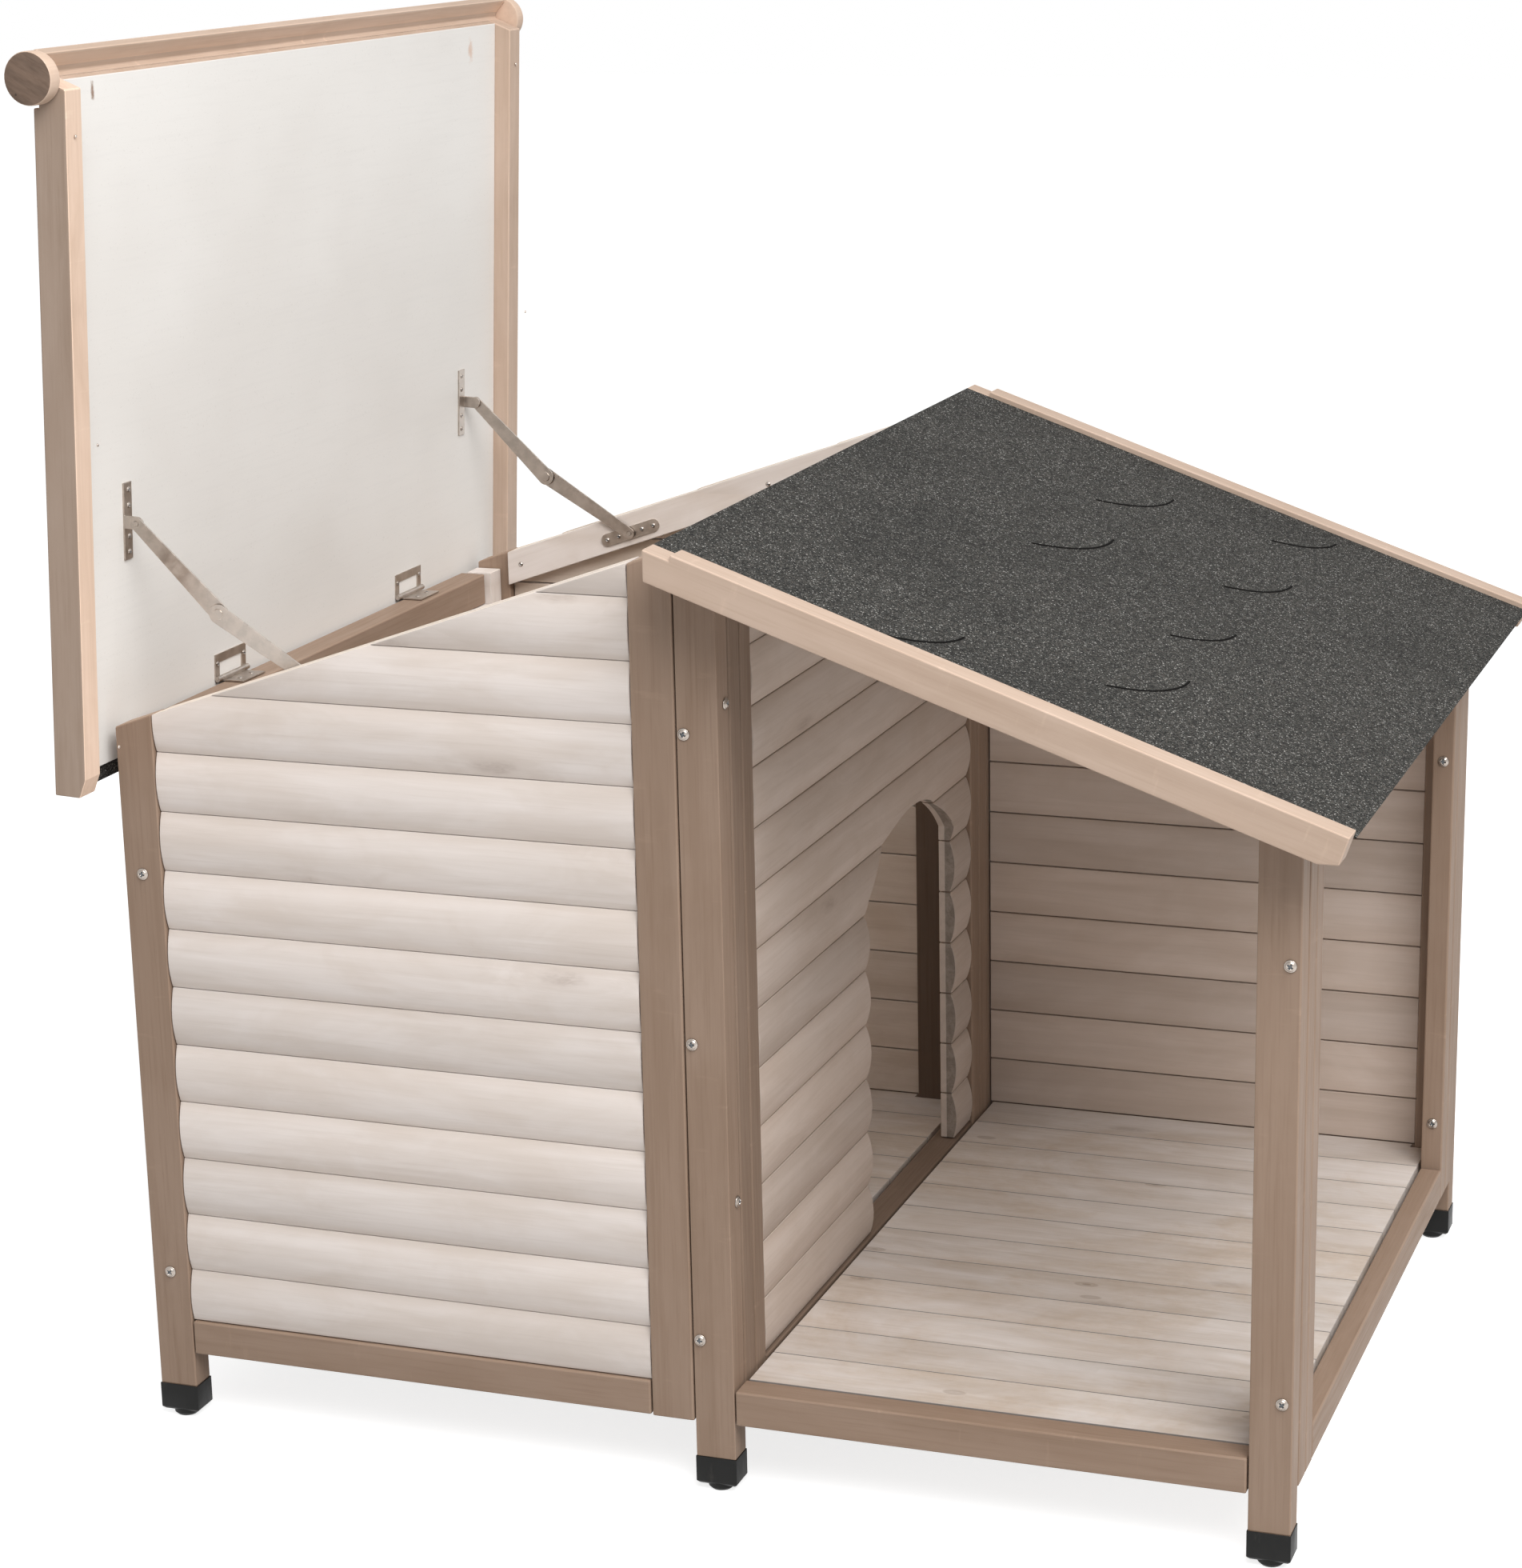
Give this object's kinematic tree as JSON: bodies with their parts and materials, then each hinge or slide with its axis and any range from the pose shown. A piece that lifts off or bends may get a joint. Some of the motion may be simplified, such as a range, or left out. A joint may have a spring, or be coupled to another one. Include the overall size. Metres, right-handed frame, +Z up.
{
  "type": "dog kennel with a covered terrace",
  "caption": "Wooden dog kennel with log-board walls, an arched doorway onto a covered terrace and a felted half roof that hinges open on folding stays.",
  "frame": {"origin": "on the ground, under the middle of the kennel's box with the lid open as in the picture", "axes": "+X along the front from the lid to the terrace, +Y from the front to the back, +Z up"},
  "size_m": [1.2884, 1.078, 1.411],
  "materials": {
    "frame_wood": "taupe stained softwood, planed, with eased arrises",
    "log_wood": "whitewashed softwood, half-round face",
    "barge_wood": "light tan stained softwood",
    "floor_wood": "pale whitewashed floor boards",
    "lid_board": "off-white painted thin board",
    "felt": "charcoal bitumen felt with mineral granules",
    "foot_plastic": "black moulded plastic",
    "hardware": "zinc-plated steel"
  },
  "bodies": {
    "house": {"post_front_left": "frame_wood", "post_front_middle": "frame_wood", "post_front_right": "frame_wood", "post_back_left": "frame_wood", "post_back_middle": "frame_wood", "post_back_right": "frame_wood", "foot_caps": "foot_plastic", "front_panel_rail": "frame_wood", "front_panel_logs": "log_wood", "front_panel_stile": "frame_wood", "front_cleat": "log_wood", "back_panel_rail": "frame_wood", "back_panel_logs": "log_wood", "back_panel_stile": "frame_wood", "back_cleat": "log_wood", "left_wall_rail": "frame_wood", "left_wall_logs": "log_wood", "left_wall_front_stile": "log_wood", "left_wall_back_stile": "log_wood", "hinge_rail": "frame_wood", "door_wall_threshold": "frame_wood", "door_wall_logs": "log_wood", "door_arch_front_log": "log_wood", "door_arch_back_log": "log_wood", "door_arch_top_log": "log_wood", "door_wall_front_stile": "frame_wood", "door_wall_back_stile": "frame_wood", "terrace_front_rail": "frame_wood", "terrace_back_rail": "frame_wood", "terrace_back_logs": "log_wood", "side_frame_rail": "frame_wood", "side_frame_top_rail": "frame_wood", "side_frame_front_stile": "frame_wood", "side_frame_back_stile": "frame_wood", "sleeping_floor_boards": "floor_wood", "terrace_floor_boards": "floor_wood", "floor_bearers": "frame_wood", "roof_panel": "lid_board", "roof_felt": "felt", "roof_barge_front": "barge_wood", "roof_barge_back": "barge_wood", "hinge_wall_leaves": "hardware", "stay_wall_brackets": "hardware", "post_screws": "hardware", "wall_small_screws": "hardware"},
    "lid": {"lid_panel": "lid_board", "lid_felt": "felt", "lid_barge_front": "barge_wood", "lid_barge_back": "barge_wood", "ridge_log": "barge_wood", "ridge_discs": "barge_wood", "hinge_lid_leaves": "hardware", "hinge_pins": "hardware", "stay_lid_brackets": "hardware", "lid_small_screws": "hardware"},
    "front_upper_stay": {"stay_front_upper_arm": "hardware"},
    "front_lower_stay": {"stay_front_lower_arm": "hardware"},
    "back_upper_stay": {"stay_back_upper_arm": "hardware"},
    "back_lower_stay": {"stay_back_lower_arm": "hardware"}
  },
  "joints": [
    {"name": "lid_hinge", "type": "hinge", "parent": "house", "child": "lid", "pos_m": [-0.62332, 0, 0.74161], "axis": [0, 1, 0], "range_deg": [0, 68]},
    {"name": "front_wall_pivot", "type": "hinge", "parent": "house", "child": "front_lower_stay", "pos_m": [-0.40932, -0.4073, 0.79224], "axis": [0, 1, 0], "range_deg": [-106.03, 0.5]},
    {"name": "front_lid_pivot", "type": "hinge", "parent": "lid", "child": "front_upper_stay", "pos_m": [-0.60087, -0.4043, 0.94276], "axis": [0, 1, 0], "range_deg": [-16.15, 0.5]},
    {"name": "back_wall_pivot", "type": "hinge", "parent": "house", "child": "back_lower_stay", "pos_m": [-0.40932, 0.4073, 0.79224], "axis": [0, 1, 0], "range_deg": [-106.03, 0.5]},
    {"name": "back_lid_pivot", "type": "hinge", "parent": "lid", "child": "back_upper_stay", "pos_m": [-0.60087, 0.4043, 0.94276], "axis": [0, 1, 0], "range_deg": [-16.15, 0.5]}
  ],
  "couplings": [
    {"joint": "front_wall_pivot", "follows": "lid_hinge", "ratio": -1.5519},
    {"joint": "front_lid_pivot", "follows": "lid_hinge", "ratio": -0.23013},
    {"joint": "back_wall_pivot", "follows": "lid_hinge", "ratio": -1.5519},
    {"joint": "back_lid_pivot", "follows": "lid_hinge", "ratio": -0.23013}
  ]
}
